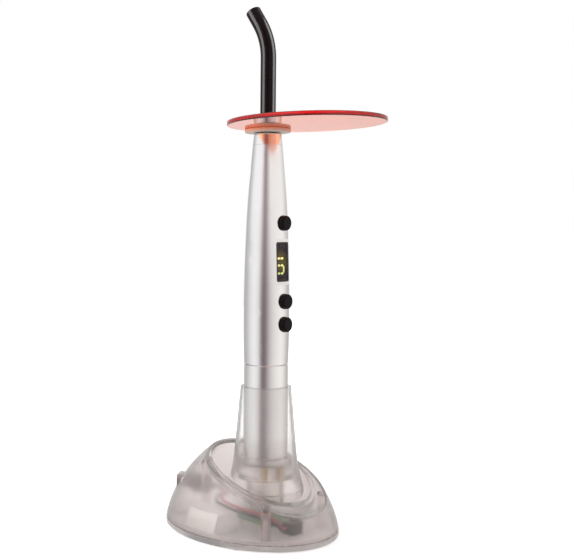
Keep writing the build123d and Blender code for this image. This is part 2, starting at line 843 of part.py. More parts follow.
pin_places = [
    (x * digits_pin_spread_x, display_height + z * digits_pin_spread_z) for x in (-1, 1) for z in (-1, 1)
]
pins_reach = main_board_reach + slip_gap
digits_back = window_thickness + slip_gap + digits_depth
with BuildPart() as display_module:
    with BuildSketch(display_plane.offset(-window_thickness - slip_gap)):
        Rectangle(frame_inner_width - 2 * loose_gap, frame_inner_length - 2 * loose_gap)
    extrude(amount=-digits_depth)
    with BuildSketch(front_plane.offset(pins_reach)):
        with Locations(*pin_places):
            Circle(digits_pin_radius)
    extrude(amount=display_reach - digits_back - pins_reach + digits_pin_radius)
save(display_module.part, "display_module")

# Handpiece circuit board, standing between the cell's stop and the heat sink, and its switches
with BuildPart() as main_board:
    board_foot = stop_top + seat_gap
    board_length_up = sink_bottom - seat_gap - board_foot
    with BuildSketch(front_plane.offset(main_board_reach - main_board_thickness)):
        with Locations((0, board_foot + board_length_up / 2)):
            Rectangle(main_board_width, board_length_up)
    extrude(amount=main_board_thickness)
save(main_board.part, "main_board")

with BuildPart() as tact_switches:
    with BuildSketch(front_plane.offset(main_board_reach)):
        with Locations(*button_seats):
            RectangleRounded(switch_size, switch_size, pocket_corner / 2)
    extrude(amount=switch_body)
    with BuildSketch(front_plane.offset(main_board_reach)):
        with Locations(*button_seats):
            Circle(switch_plunger_radius)
    extrude(amount=switch_top_reach - main_board_reach)
save(tact_switches.part, "tact_switches")

# Push buttons: round, with a flange behind the tube's wall
for name, height in buttons:
    face_reach = handle_radius(height) + button_proud
    behind_wall = bore_radius(height + button_flange_radius)
    flange_reach = sqrt(behind_wall**2 - button_flange_radius**2) - loose_gap
    with BuildPart() as button:
        with BuildSketch(front_plane.offset(flange_reach)):
            with Locations((0, height)):
                Circle(button_radius)
        extrude(amount=face_reach - flange_reach)
        fillet(button.edges().group_by(front_axis)[-1], button_edge)
        with BuildSketch(front_plane.offset(flange_reach)):
            with Locations((0, height)):
                Circle(button_flange_radius)
        extrude(amount=-button_flange_thickness)
        with BuildSketch(front_plane.offset(button_tail_reach)):
            with Locations((0, height)):
                Circle(button_tail_radius)
        extrude(amount=flange_reach - button_tail_reach)
    save(button.part, name)

# Light source: finned heat sink, its star board with the emitter, and the lens over it
with BuildPart() as heat_sink:
    with BuildSketch(Plane.XY.offset(sink_bottom)):
        Circle(sink_radius)
    extrude(amount=sink_top - sink_bottom)
    for groove in range(sink_grooves):
        groove_bottom = sink_bottom + (groove + 0.5) * sink_groove_pitch
        with BuildSketch(Plane.XY.offset(groove_bottom)):
            Circle(sink_radius)
            Circle(sink_core_radius, mode=Mode.SUBTRACT)
        extrude(amount=sink_groove_pitch / 2, mode=Mode.SUBTRACT)
save(heat_sink.part, "heat_sink")

with BuildPart() as led_emitter:
    with BuildSketch(Plane.XY.offset(star_bottom)):
        Circle(star_radius)
    extrude(amount=star_thickness)
    with BuildSketch(Plane.XY.offset(star_bottom + star_thickness)):
        Rectangle(emitter_size, emitter_size)
    extrude(amount=emitter_height)
save(led_emitter.part, "led_emitter")

lens_bottom = star_bottom + star_thickness + slip_gap
lens_bulge = lens_height - lens_foot
lens_curve = (lens_radius**2 + lens_bulge**2) / (2 * lens_bulge)
lens_centre = lens_bottom + lens_height - lens_curve
lens_foot_angle = degrees(asin((lens_bottom + lens_foot - lens_centre) / lens_curve))
with BuildPart() as led_lens:
    with BuildSketch(Plane.XZ):
        with BuildLine():
            Polyline(
                (0, lens_bottom + lens_hollow),
                (lens_hollow_radius, lens_bottom + lens_hollow),
                (lens_hollow_radius, lens_bottom),
                (lens_radius, lens_bottom),
                (lens_radius, lens_bottom + lens_foot),
            )
            CenterArc((0, lens_centre), lens_curve, lens_foot_angle, 90 - lens_foot_angle)
            Line((0, lens_bottom + lens_height), (0, lens_bottom + lens_hollow))
        make_face()
    revolve(axis=Axis.Z)
save(led_lens.part, "led_lens")

# Nose ring, with the guide's bore and the stop that the guide stands on
guide_stop_top = guide_stop_height + guide_stop_thickness
with BuildPart() as nose_ring:
    revolve(
        half_section(
            (guide_bore, nose_top),
            (nose_top_radius, nose_top),
            (tube_top_radius, tube_top),
            (optic_bore - slip_gap, tube_top),
            (optic_bore - slip_gap, nose_spigot_bottom),
            (guide_bore, nose_spigot_bottom),
            (guide_bore, guide_stop_height),
            (guide_stop_bore, guide_stop_height),
            (guide_stop_bore, guide_stop_top),
            (guide_bore, guide_stop_top),
        ),
        axis=Axis.Z,
    )
    fillet(nose_ring.edges().group_by(Axis.Z)[-1].sort_by(SortBy.RADIUS)[-1], nose_edge)
save(nose_ring.part, "nose_ring")

# Light guide: a glass rod in a black sheath, straight, then bent back, then straight to the tip
with BuildLine(guide_plane) as guide_path:
    stem = Line((0, guide_bottom), (0, nose_top + guide_rise))
    bend = JernArc(start=stem @ 1, tangent=stem % 1, radius=guide_bend_radius, arc_size=-guide_bend)
    Line(bend @ 1, bend @ 1 + (bend % 1) * guide_tip_length)
guide_foot = Plane(origin=(0, 0, guide_bottom), z_dir=(0, 0, 1))

with BuildPart() as guide_core:
    with BuildSketch(guide_foot):
        Circle(glass_radius)
    sweep(path=guide_path.wires()[0])
save(guide_core.part, "guide_core")

with BuildPart() as guide_sheath:
    with BuildSketch(guide_foot):
        Circle(guide_radius)
        Circle(glass_radius + slip_gap, mode=Mode.SUBTRACT)
    sweep(path=guide_path.wires()[0])
    tip_rims = guide_sheath.edges().filter_by(GeomType.CIRCLE).sort_by(Axis.Z)[-2:]
    fillet(tip_rims.sort_by(SortBy.RADIUS)[-1], guide_tip_round)
save(guide_sheath.part, "guide_sheath")

groove_half = guide_seal_radius + slip_gap
with BuildPart() as guide_ferrule:
    revolve(
        half_section(
            (guide_radius + slip_gap, guide_bottom),
            (guide_bore - slip_gap, guide_bottom),
            (guide_bore - slip_gap, guide_seal_height - groove_half),
            (guide_groove_radius, guide_seal_height - groove_half),
            (guide_groove_radius, guide_seal_height + groove_half),
            (guide_bore - slip_gap, guide_seal_height + groove_half),
            (guide_bore - slip_gap, ferrule_top),
            (guide_radius + slip_gap, ferrule_top),
        ),
        axis=Axis.Z,
    )
save(guide_ferrule.part, "guide_ferrule")

with BuildPart() as guide_seal:
    with BuildSketch(Plane.XZ):
        with Locations((guide_groove_radius + guide_seal_radius + slip_gap / 2, guide_seal_height)):
            Circle(guide_seal_radius)
    revolve(axis=Axis.Z)
save(guide_seal.part, "guide_seal")

# Shield: an oval plate held in the groove of a rubber grommet, which slides over the guide
with BuildPart() as shield_grommet:
    with BuildSketch(shield_plane):
        Circle(grommet_radius)
    extrude(amount=-grommet_thickness)
    fillet(shield_grommet.edges(), grommet_edge)
    with BuildSketch(shield_plane):
        Circle(grommet_neck_radius)
    extrude(amount=shield_thickness)
    with BuildSketch(shield_plane.offset(shield_thickness)):
        Circle(grommet_radius)
    extrude(amount=grommet_top_thickness)
    fillet(shield_grommet.edges().group_by(SortBy.LENGTH)[-1].sort_by(Axis.Z)[-1], grommet_edge)
    with BuildSketch(Plane.XY.offset(nose_top)):
        Circle(guide_radius + slip_gap)
    extrude(amount=grommet_radius, mode=Mode.SUBTRACT)
save(shield_grommet.part, "shield_grommet")

with BuildPart() as shield_plate:
    with BuildSketch(shield_plane):
        with Locations((0, shield_centre_y)):
            Ellipse(shield_half_width, shield_half_length)
    extrude(amount=shield_thickness)
    fillet(shield_plate.edges(), shield_edge)
    with BuildSketch(shield_plane):
        Circle(grommet_neck_radius + slip_gap)
    extrude(amount=shield_thickness, mode=Mode.SUBTRACT)
save(shield_plate.part, "shield_plate")
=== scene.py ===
"""A dental curing light in its clear charging base: its finishes, its fine pieces, the studio and the camera."""

import json
from math import cos, pi, radians, sin

import bpy
from mathutils import Matrix, Vector


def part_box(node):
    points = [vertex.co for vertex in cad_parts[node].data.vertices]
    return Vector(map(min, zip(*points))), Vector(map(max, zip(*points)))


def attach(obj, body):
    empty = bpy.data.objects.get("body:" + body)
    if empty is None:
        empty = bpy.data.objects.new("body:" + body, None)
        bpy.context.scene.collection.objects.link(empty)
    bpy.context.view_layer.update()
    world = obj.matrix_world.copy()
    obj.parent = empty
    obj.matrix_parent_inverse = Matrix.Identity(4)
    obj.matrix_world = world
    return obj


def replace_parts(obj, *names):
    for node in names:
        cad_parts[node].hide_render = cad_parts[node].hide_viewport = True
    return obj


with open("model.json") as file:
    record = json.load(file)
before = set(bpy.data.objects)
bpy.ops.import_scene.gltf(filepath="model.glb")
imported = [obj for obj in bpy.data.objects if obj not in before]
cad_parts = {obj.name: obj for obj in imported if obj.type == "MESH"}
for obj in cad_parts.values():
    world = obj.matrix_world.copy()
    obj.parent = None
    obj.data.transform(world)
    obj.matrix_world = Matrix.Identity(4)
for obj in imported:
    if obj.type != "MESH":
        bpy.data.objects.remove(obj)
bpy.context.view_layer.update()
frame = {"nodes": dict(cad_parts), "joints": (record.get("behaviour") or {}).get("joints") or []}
bpy.ops.object.select_all(action="DESELECT")

MM = 0.001
UP = Vector((0, 0, 1))

# The camera is level, and turned this far round from straight in front of the base
VIEW_TURN = radians(-41)
VIEW_ROLL = radians(0.45)
VIEW_DISTANCE = 610 * MM
VIEW_HEIGHT = 178.9 * MM
VIEW_LENS = 67.36
SENSOR_WIDTH = 36.0
PHOTO_WIDTH = 574  # pixels
HORIZON_RISE = 64  # pixels of the eye's level above the picture's middle
AXIS_OFFSET = 19.8  # pixels of the handpiece's axis left of the picture's middle

FLOOR_RADIUS = 1.5
FLOOR_GLOW_START = 0.10  # the floor's own light grows from here out, so that it ends as white as the walls
FLOOR_GLOW_REACH = 0.45
FLOOR_GLOW = 0.52
FILL_LIGHT = 0.42  # how bright the walls are to surfaces that don't mirror them

VIEW_AHEAD = Vector((-sin(VIEW_TURN), cos(VIEW_TURN), 0))
VIEW_RIGHT = Vector((cos(VIEW_TURN), sin(VIEW_TURN), 0))

# Where the handpiece's buttons face, from the way that they are pressed
press_axis = next(joint["axis"] for joint in frame["joints"] if joint["name"] == "power_press")
FRONT = -Vector(press_axis).normalized()

# The shell is matt and tinted darker in its dome, up to the first height, and polished above the second
DOME_TOP = 36 * MM
SOCKET_POLISHED = 56 * MM

DISPLAY_LEAN = radians(1.6)
WINDOW_THICKNESS = 1.2 * MM
DIGIT_DEPTH = 0.03 * MM
DIGIT_HEIGHT = 7.2 * MM
DIGIT_WIDTH = 5.6 * MM
DIGIT_STROKE = 1.15 * MM
DIGIT_SHIFT = 1.2 * MM
DIGIT_PITCH = 8.4 * MM
SEGMENT_GAP = 0.4 * MM
SEGMENT_POINT = 0.44  # how far a bar's ends are cut back, as a share of its stroke


# Material helpers

def new_material(name):
    """A material with an empty node tree and its output."""
    material = bpy.data.materials.new(name)
    material.use_nodes = True
    tree = material.node_tree
    tree.nodes.clear()
    tree.nodes.new("ShaderNodeOutputMaterial")
    return material, tree


def set_inputs(node, values):
    """Set a node's inputs, whose names have underscores here for spaces."""
    for name, value in values.items():
        node.inputs[name.replace("_", " ")].default_value = value
    return node


def put(tree, kind, **values):
    """Add a node with its inputs' values."""
    return set_inputs(tree.nodes.new(kind), values)


def show(tree, shader, volume=None):
    """Send a shader, and a volume if there is one, to the material's output."""
    output = next(node for node in tree.nodes if node.type == "OUTPUT_MATERIAL")
    tree.links.new(shader, output.inputs["Surface"])
    if volume:
        tree.links.new(volume, output.inputs["Volume"])


def place_group(tree, group, **values):
    """Add a shader node group with its own values."""
    node = tree.nodes.new("ShaderNodeGroup")
    node.node_tree = group
    return set_inputs(node, values)


def new_group(name, inputs, outputs):
    """A shader node group with float inputs, given with their defaults, and named outputs."""
    group = bpy.data.node_groups.new(name, "ShaderNodeTree")
    for socket, value in inputs.items():
        made = group.interface.new_socket(socket, in_out="INPUT", socket_type="NodeSocketFloat")
        made.default_value = value
    for socket in outputs:
        group.interface.new_socket(socket, in_out="OUTPUT", socket_type="NodeSocketFloat")
    return group, group.nodes.new("NodeGroupInput"), group.nodes.new("NodeGroupOutput")


def object_place(tree):
    """Where a point lies on the object itself."""
    return tree.nodes.new("ShaderNodeTexCoord").outputs["Object"]


def height_on(tree):
    """How high a point lies on the object."""
    parts = tree.nodes.new("ShaderNodeSeparateXYZ")
    tree.links.new(object_place(tree), parts.inputs[0])
    return parts.outputs["Z"]


def against(tree, operation, place, fixed):
    """A number from a place and a fixed vector: how far apart they are, or their dot product."""
    node = tree.nodes.new("ShaderNodeVectorMath")
    node.operation = operation
    node.inputs[1].default_value = fixed
    tree.links.new(place, node.inputs[0])
    return node.outputs["Value"]


def map_between(tree, source, low, high, to_low, to_high):
    """Stretch a value from one range to another; the ends of the new range may be sockets."""
    node = tree.nodes.new("ShaderNodeMapRange")
    node.inputs["From Min"].default_value = low
    node.inputs["From Max"].default_value = high
    tree.links.new(source, node.inputs["Value"])
    for name, end in (("To Min", to_low), ("To Max", to_high)):
        if isinstance(end, (int, float)):
            node.inputs[name].default_value = end
        else:
            tree.links.new(end, node.inputs[name])
    return node.outputs["Result"]


def maths(tree, operation, first, second):
    """One sum on two values, each a number or a socket."""
    node = tree.nodes.new("ShaderNodeMath")
    node.operation = operation
    for slot, value in enumerate((first, second)):
        if isinstance(value, (int, float)):
            node.inputs[slot].default_value = value
        else:
            tree.links.new(value, node.inputs[slot])
    return node.outputs[0]


def mix_colours(tree, mask, first, second):
    """Blend two colours by a mask; each is three numbers or a socket."""
    node = tree.nodes.new("ShaderNodeMix")
    node.data_type = "RGBA"
    for name, colour in (("A", first), ("B", second)):
        socket = next(way for way in node.inputs if way.name == name and way.type == "RGBA")
        if isinstance(colour, tuple):
            socket.default_value = (*colour, 1)
        else:
            tree.links.new(colour, socket)
    tree.links.new(mask, node.inputs["Factor"])
    return next(way for way in node.outputs if way.type == "RGBA")


# Effects that several finishes share

def build_grain():
    """Fine grain of a blasted or moulded skin: a roughness that varies and a height."""
    group, ends_in, ends_out = new_group(
        "fine grain", {"Scale": 900, "Roughness": 0.3, "Spread": 0.05}, ("Roughness", "Height")
    )
    noise = put(group, "ShaderNodeTexNoise", Detail=3)
    group.links.new(object_place(group), noise.inputs["Vector"])
    group.links.new(ends_in.outputs["Scale"], noise.inputs["Scale"])
    low = maths(group, "SUBTRACT", ends_in.outputs["Roughness"], ends_in.outputs["Spread"])
    high = maths(group, "ADD", ends_in.outputs["Roughness"], ends_in.outputs["Spread"])
    rough = map_between(group, noise.outputs["Fac"], 0.3, 0.7, low, high)
    group.links.new(rough, ends_out.inputs["Roughness"])
    group.links.new(noise.outputs["Fac"], ends_out.inputs["Height"])
    return group


def build_handling():
    """Broad, faint patches where a thing is held and wiped, as a mask."""
    group, ends_in, ends_out = new_group("handling marks", {"Scale": 60, "Amount": 0.5}, ("Mask",))
    noise = put(group, "ShaderNodeTexNoise", Detail=4, Roughness=0.6, Distortion=0.4)
    group.links.new(object_place(group), noise.inputs["Vector"])
    group.links.new(ends_in.outputs["Scale"], noise.inputs["Scale"])
    mask = map_between(group, noise.outputs["Fac"], 0.42, 0.68, 0, ends_in.outputs["Amount"])
    group.links.new(mask, ends_out.inputs["Mask"])
    return group


def build_turning():
    """Fine rings that a lathe leaves round an upright axis, as a height."""
    group, ends_in, ends_out = new_group("turning lines", {"Pitch": 3000, "Depth": 1}, ("Height",))
    along = maths(group, "MULTIPLY", height_on(group), ends_in.outputs["Pitch"])
    line = put(group, "ShaderNodeTexNoise", Scale=1, Detail=2)
    line.noise_dimensions = "1D"
    group.links.new(along, line.inputs["W"])
    height = maths(group, "MULTIPLY", line.outputs["Fac"], ends_in.outputs["Depth"])
    group.links.new(height, ends_out.inputs["Height"])
    return group


grain = build_grain()
handling = build_handling()
turning = build_turning()


def bump(tree, skin, height, depth):
    """Raise a skin by a height, to a depth in metres."""
    node = put(tree, "ShaderNodeBump", Strength=1, Distance=depth)
    tree.links.new(height, node.inputs["Height"])
    tree.links.new(node.outputs["Normal"], skin.inputs["Normal"])


def patchy(tree, skin, colour, other, scale, amount):
    """Give a skin a colour that turns to another where it is handled, and return the mask of those places."""
    marks = place_group(tree, handling, Scale=scale, Amount=amount)
    tree.links.new(mix_colours(tree, marks.outputs["Mask"], colour, other), skin.inputs["Base Color"])
    return marks.outputs["Mask"]


def grained(tree, skin, scale, roughness, spread):
    """Give a skin a roughness that varies with its grain, and return the grain's height."""
    fine = place_group(tree, grain, Scale=scale, Roughness=roughness, Spread=spread)
    tree.links.new(fine.outputs["Roughness"], skin.inputs["Roughness"])
    return fine.outputs["Height"]


# Finishes

def satin_metal(name, colour, worn, roughness):
    """Fine-blasted, plated metal that spreads reflections, with faint wiped patches."""
    material, tree = new_material(name)
    skin = put(tree, "ShaderNodeBsdfPrincipled", Metallic=1)
    wiped = patchy(tree, skin, colour, worn, 45, 0.6)
    blast = place_group(tree, grain, Scale=2600, Roughness=roughness, Spread=0.03)
    rough = maths(tree, "ADD", blast.outputs["Roughness"], maths(tree, "MULTIPLY", wiped, 0.05))
    tree.links.new(rough, skin.inputs["Roughness"])
    lines = place_group(tree, turning, Pitch=5200, Depth=0.5)
    bump(tree, skin, maths(tree, "ADD", blast.outputs["Height"], lines.outputs["Height"]), 0.000004)
    show(tree, skin.outputs[0])
    return material


def turned_metal(name, colour, worn, roughness):
    """Bare turned or plated metal of small inner pieces."""
    material, tree = new_material(name)
    skin = put(tree, "ShaderNodeBsdfPrincipled", Metallic=1)
    patchy(tree, skin, colour, worn, 300, 0.8)
    grained(tree, skin, 1500, roughness, 0.06)
    lines = place_group(tree, turning, Pitch=9000, Depth=1)
    bump(tree, skin, lines.outputs["Height"], 0.00001)
    show(tree, skin.outputs[0])
    return material


def moulded(name, colour, faded, roughness, scale=1400, depth=0.00001, gloss=0.5):
    """An opaque moulded plastic or rubber skin."""
    material, tree = new_material(name)
    skin = put(tree, "ShaderNodeBsdfPrincipled", IOR=1.47, Specular_IOR_Level=gloss)
    patchy(tree, skin, colour, faded, 120, 0.7)
    bump(tree, skin, grained(tree, skin, scale, roughness, 0.06), depth)
    show(tree, skin.outputs[0])
    return material


def let_lamps_through(tree, shader, tint):
    """Rays on their way to a lamp pass a clear piece with its tint, so that what is behind it is lit."""
    path = tree.nodes.new("ShaderNodeLightPath")
    clear = put(tree, "ShaderNodeBsdfTransparent", Color=(*tint, 1))
    either = tree.nodes.new("ShaderNodeMixShader")
    tree.links.new(path.outputs["Is Shadow Ray"], either.inputs["Fac"])
    tree.links.new(shader, either.inputs[1])
    tree.links.new(clear.outputs[0], either.inputs[2])
    return either.outputs[0]


def clear_plastic(name, tint, cloudy, roughness, shade, clearness=1):
    """Clear moulded plastic, a little cloudy and matt, so that what is inside shows softly."""
    material, tree = new_material(name)
    skin = put(tree, "ShaderNodeBsdfPrincipled", IOR=1.46, Transmission_Weight=clearness)
    patchy(tree, skin, tint, cloudy, 38, 0.8)
    grained(tree, skin, 60, roughness, 0.02)
    show(tree, let_lamps_through(tree, skin.outputs[0], shade))
    return material


def shell_plastic():
    """The shell's clear plastic: polished round the socket, and matt and tinted darker in the dome."""
    material, tree = new_material("shell plastic")
    skin = put(tree, "ShaderNodeBsdfPrincipled", IOR=1.46, Transmission_Weight=0.94)
    socket = map_between(tree, height_on(tree), DOME_TOP, SOCKET_POLISHED, 0, 1)
    marks = place_group(tree, handling, Scale=38, Amount=0.8)
    dome = mix_colours(tree, marks.outputs["Mask"], (0.835, 0.79, 0.78), (0.805, 0.76, 0.75))
    tree.links.new(mix_colours(tree, socket, dome, (0.95, 0.945, 0.94)), skin.inputs["Base Color"])
    haze = place_group(tree, grain, Scale=60, Roughness=0.23, Spread=0.02)
    clearer = maths(tree, "MULTIPLY", socket, 0.15)
    tree.links.new(maths(tree, "SUBTRACT", haze.outputs["Roughness"], clearer), skin.inputs["Roughness"])
    show(tree, let_lamps_through(tree, skin.outputs[0], (0.85, 0.83, 0.83)))
    return material


def shield_plastic():
    """Orange-red filter plastic: clear, with its colour in its depth, and a painted red glow at its edge."""
    material, tree = new_material("filter plastic")
    skin = put(
        tree, "ShaderNodeBsdfPrincipled", Base_Color=(1, 1, 1, 1), IOR=1.49, Transmission_Weight=1, Emission_Strength=1
    )
    grained(tree, skin, 90, 0.03, 0.02)
    # Painted red glow: where the plate's faces turn sideways at its edge, they get a faint red emission of their own.
    place = tree.nodes.new("ShaderNodeTexCoord")
    facing = tree.nodes.new("ShaderNodeSeparateXYZ")
    tree.links.new(place.outputs["Normal"], facing.inputs[0])
    rim = map_between(tree, maths(tree, "ABSOLUTE", facing.outputs["Z"], 0), 0.6, 0.95, 1, 0)
    tree.links.new(mix_colours(tree, rim, (0, 0, 0), (0.105, 0.004, 0.004)), skin.inputs["Emission Color"])
    depth = put(tree, "ShaderNodeVolumeAbsorption", Color=(0.997, 0.607, 0.036, 1), Density=1100)
    show(tree, let_lamps_through(tree, skin.outputs[0], (1, 1, 1)), depth.outputs[0])
    return material


def smoked_window():
    """Dark clear plastic over the digits."""
    material, tree = new_material("smoked window")
    skin = put(
        tree, "ShaderNodeBsdfPrincipled", IOR=1.33, Specular_Tint=(1, 0.72, 0.85, 1), Transmission_Weight=1
    )
    patchy(tree, skin, (0.42, 0.34, 0.38), (0.38, 0.31, 0.35), 200, 1)
    grained(tree, skin, 400, 0.06, 0.03)
    show(tree, let_lamps_through(tree, skin.outputs[0], (0.3, 0.28, 0.3)))
    return material


def lit_digits(middle, across):
    """Glowing segments, yellow over green, that are faint at the side that the block's edge shades."""
    material, tree = new_material("lit segments")
    skin = put(
        tree, "ShaderNodeBsdfPrincipled", Base_Color=(0.3, 0.34, 0.1, 1), Roughness=0.5, Emission_Strength=4.2
    )
    upper = map_between(tree, height_on(tree), middle.z - 5 * MM, middle.z + 3 * MM, 0, 1)
    sideways = against(tree, "DOT_PRODUCT", object_place(tree), across)
    start = middle.dot(across)
    open_side = map_between(tree, sideways, start - 3.4 * MM, start - 1.2 * MM, 0.1, 1)
    hue = mix_colours(tree, upper, (0.28, 0.52, 0.16), (1.0, 0.97, 0.36))
    glow = place_group(tree, handling, Scale=900, Amount=0.5)
    lit = mix_colours(tree, glow.outputs["Mask"], hue, (0.85, 0.80, 0.16))
    tree.links.new(mix_colours(tree, open_side, (0.03, 0.035, 0.005), lit), skin.inputs["Emission Color"])
    show(tree, skin.outputs[0])
    return material


def glowing_block(middle):
    """The display's dark block, which the segments tinge with their light."""
    material, tree = new_material("display block lit")
    skin = put(
        tree, "ShaderNodeBsdfPrincipled", Base_Color=(0.014, 0.013, 0.014, 1), Roughness=0.5, Emission_Strength=1
    )
    near = map_between(tree, against(tree, "DISTANCE", object_place(tree), middle), 3.5 * MM, 7.5 * MM, 1, 0)
    grained(tree, skin, 900, 0.5, 0.1)
    tree.links.new(mix_colours(tree, near, (0, 0, 0), (0.17, 0.175, 0.0)), skin.inputs["Emission Color"])
    show(tree, skin.outputs[0])
    return material


def circuit_board(name):
    """Green solder mask with paler tracks and tinned pads."""
    material, tree = new_material(name)
    skin = put(tree, "ShaderNodeBsdfPrincipled", IOR=1.5)
    place = object_place(tree)
    tracks = put(
        tree, "ShaderNodeTexBrick", Scale=260, Mortar_Size=0.06, Bias=0,
        Color1=(0, 0, 0, 1), Color2=(0, 0, 0, 1), Mortar=(1, 1, 1, 1),
    )
    tree.links.new(place, tracks.inputs["Vector"])
    pads = put(tree, "ShaderNodeTexVoronoi", Scale=330, Randomness=0.4)
    tree.links.new(place, pads.inputs["Vector"])
    dots = map_between(tree, pads.outputs["Distance"], 0.16, 0.20, 1, 0)
    masked = mix_colours(tree, tracks.outputs["Color"], (0.07, 0.155, 0.06), (0.14, 0.26, 0.12))
    tree.links.new(mix_colours(tree, dots, masked, (0.55, 0.52, 0.42)), skin.inputs["Base Color"])
    tree.links.new(dots, skin.inputs["Metallic"])
    grained(tree, skin, 800, 0.35, 0.08)
    bump(tree, skin, tracks.outputs["Color"], 0.00003)
    show(tree, skin.outputs[0])
    return material


def fibre_glass():
    """The end of a fused fibre rod: a fine honeycomb of amber and clear."""
    material, tree = new_material("fused fibres")
    skin = put(tree, "ShaderNodeBsdfPrincipled", IOR=1.55, Transmission_Weight=0.4)
    cells = put(tree, "ShaderNodeTexVoronoi", Scale=5200, Randomness=0.5)
    tree.links.new(object_place(tree), cells.inputs["Vector"])
    wall = map_between(tree, cells.outputs["Distance"], 0.3, 0.6, 0, 1)
    tree.links.new(mix_colours(tree, wall, (0.80, 0.66, 0.48), (0.30, 0.16, 0.08)), skin.inputs["Base Color"])
    grained(tree, skin, 900, 0.12, 0.05)
    show(tree, skin.outputs[0])
    return material


FINISHES = {
    shell_plastic(): ("base_shell",),
    clear_plastic("plate plastic", (0.93, 0.895, 0.885), (0.90, 0.865, 0.855), 0.3, (0.80, 0.78, 0.78), 0.73):
        ("base_plate",),
    clear_plastic("foot silicone", (0.93, 0.90, 0.89), (0.90, 0.87, 0.86), 0.3, (0.85, 0.84, 0.84), 0.8):
        ("rubber_feet",),
    clear_plastic("seat plastic", (1.0, 0.985, 0.97), (0.98, 0.965, 0.95), 0.22, (0.90, 0.88, 0.86), 0.95):
        ("contact_seat",),
    satin_metal("satin plating", (0.93, 0.915, 0.915), (0.88, 0.865, 0.86), 0.15):
        ("handle_tube", "nose_ring"),
    satin_metal("satin cap", (0.92, 0.905, 0.90), (0.87, 0.855, 0.85), 0.20): ("rear_cap",),
    shield_plastic(): ("shield_plate",),
    smoked_window(): ("display_window",),
    circuit_board("green board"): ("charge_board", "main_board"),
    fibre_glass(): ("guide_core",),
    moulded("button rubber", (0.003, 0.0015, 0.002), (0.006, 0.004, 0.005), 0.5, 1800, 0.00002, 0.15):
        ("button_power", "button_mode", "button_time"),
    moulded("guide sheath", (0.003, 0.0008, 0.0012), (0.006, 0.002, 0.003), 0.15, 300, 0.000001, 0.14):
        ("guide_sheath",),
    moulded("display frame", (0.012, 0.012, 0.013), (0.02, 0.02, 0.02), 0.3): ("display_frame",),
    moulded("display block", (0.014, 0.013, 0.014), (0.02, 0.018, 0.019), 0.5):
        ("tact_switches", "cell_stop", "cap_insulator"),
    moulded("jack plastic", (0.30, 0.25, 0.26), (0.26, 0.215, 0.225), 0.4): ("dc_jack",),
    moulded("connector plastic", (0.03, 0.026, 0.028), (0.05, 0.044, 0.046), 0.4):
        ("board_connector", "board_chips"),
    moulded("seal rubber", (0.016, 0.016, 0.016), (0.026, 0.026, 0.026), 0.55): ("cap_seal", "guide_seal"),
    moulded("grommet rubber", (0.72, 0.60, 0.51), (0.66, 0.54, 0.45), 0.45): ("shield_grommet",),
    moulded("red lead cover", (0.42, 0.06, 0.09), (0.34, 0.05, 0.07), 0.4): ("lead_red",),
    moulded("black lead cover", (0.03, 0.012, 0.010), (0.045, 0.02, 0.018), 0.4): ("lead_black",),
    moulded("indicator lens", (0.55, 0.72, 0.50), (0.48, 0.66, 0.44), 0.15): ("charge_indicator",),
    moulded("cell wrap", (0.03, 0.12, 0.32), (0.03, 0.10, 0.27), 0.3): ("battery_cell",),
    moulded("emitter board", (0.75, 0.74, 0.68), (0.68, 0.66, 0.60), 0.4): ("led_emitter",),
    turned_metal("gold plating", (0.84, 0.68, 0.38), (0.76, 0.60, 0.32), 0.22):
        ("contact_barrels", "plunger_centre", "plunger_outer", "contact_ring", "cap_contact", "cell_contact"),
    moulded("painted weight", (0.86, 0.86, 0.83), (0.78, 0.78, 0.75), 0.5, 500): ("ballast_weights",),
    turned_metal("turned steel", (0.58, 0.58, 0.60), (0.50, 0.50, 0.52), 0.28):
        ("thread_insert", "guide_ferrule"),
    turned_metal("bright plating", (0.90, 0.89, 0.87), (0.84, 0.83, 0.81), 0.2): ("base_screws",),
    turned_metal("turned aluminium", (0.70, 0.71, 0.72), (0.62, 0.63, 0.65), 0.35): ("heat_sink",),
    clear_plastic("lens plastic", (0.95, 0.96, 0.97), (0.93, 0.94, 0.95), 0.04, (0.95, 0.95, 0.95)):
        ("led_lens",),
}


def finish_in(piece, finish):
    """Leave a piece one material."""
    piece.data.materials.clear()
    piece.data.materials.append(finish)


for finish, nodes in FINISHES.items():
    for name in nodes:
        finish_in(frame["nodes"][name], finish)


# How pieces are made

def select_only(piece):
    """Select one object, and nothing else."""
    bpy.ops.object.select_all(action="DESELECT")
    piece.select_set(True)
    bpy.context.view_layer.objects.active = piece


def shift(x, y, z=0):
    """A move by millimetres."""
    return Matrix.Translation(Vector((x, y, z)) * MM)


def joined(pieces, name):
    """Several objects as one."""
    select_only(pieces[0])
    for piece in pieces:
        piece.select_set(True)
    bpy.ops.object.join()
    whole = bpy.context.active_object
    whole.name = name
    whole.data.name = name
    return whole


def copied(piece, places):
    """Copies at places of a piece that is modelled once about the origin, each with its own mesh."""
    copies = []
    for place in places:
        copy = piece.copy()
        copy.data = piece.data.copy()
        copy.data.transform(place)
        bpy.context.scene.collection.objects.link(copy)
        copies.append(copy)
    bpy.data.objects.remove(piece)
    return copies


def block(size):
    """A block about the origin, of a size in metres."""
    bpy.ops.object.select_all(action="DESELECT")
    bpy.ops.mesh.primitive_cube_add(size=1, scale=size)
    bpy.ops.object.transform_apply(location=False, rotation=False, scale=True)
    return bpy.context.active_object


def soft_block(x, y, z, rounding):
    """A block of a size in millimetres, with all its edges rounded."""
    whole = block((x * MM, y * MM, z * MM))
    bpy.ops.object.mode_set(mode="EDIT")
    bpy.ops.mesh.select_all(action="SELECT")
    bpy.ops.mesh.bevel(offset=rounding * MM, segments=2)
    bpy.ops.object.mode_set(mode="OBJECT")
    return whole


